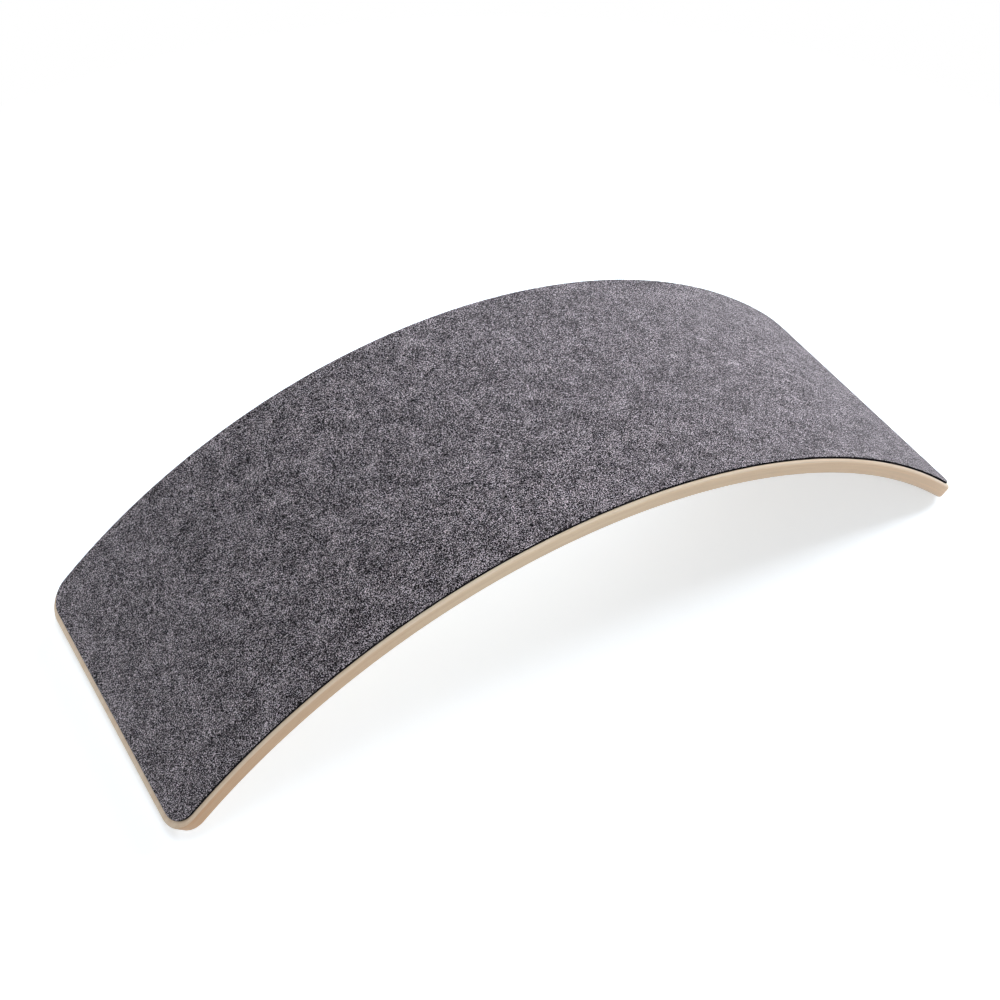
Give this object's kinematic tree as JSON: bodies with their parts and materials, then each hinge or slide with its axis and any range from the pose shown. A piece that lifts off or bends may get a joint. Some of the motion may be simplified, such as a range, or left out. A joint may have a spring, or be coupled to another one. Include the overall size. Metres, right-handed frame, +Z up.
{
  "type": "balance board",
  "caption": "Bent wooden balance board that stands as an arch on its two ends, with rounded edges and corners and a grey felt cover on its convex face, for rocking, stepping and sliding.",
  "frame": {"origin": "on the floor under the middle of the arch, the bottom centre of the bounding box with the board standing on its two ends", "axes": "+X along the board's length, +Y across its width, +Z up from the floor to the crown of the arch"},
  "size_m": [0.8242, 0.3, 0.1877],
  "materials": {
    "beech_face_veneer": "clear matt lacquer on pale beech",
    "beech_core_veneer": "sanded beech edge under clear matt lacquer",
    "wool_felt": "matt melange wool felt"
  },
  "bodies": {
    "root": {"veneer_1_concave_face": "beech_face_veneer", "veneer_2": "beech_core_veneer", "veneer_3": "beech_core_veneer", "veneer_4": "beech_core_veneer", "veneer_5": "beech_core_veneer", "veneer_6": "beech_core_veneer", "veneer_7": "beech_core_veneer", "veneer_8": "beech_core_veneer", "veneer_9_convex_face": "beech_face_veneer", "felt_cover": "wool_felt"}
  },
  "joints": []
}
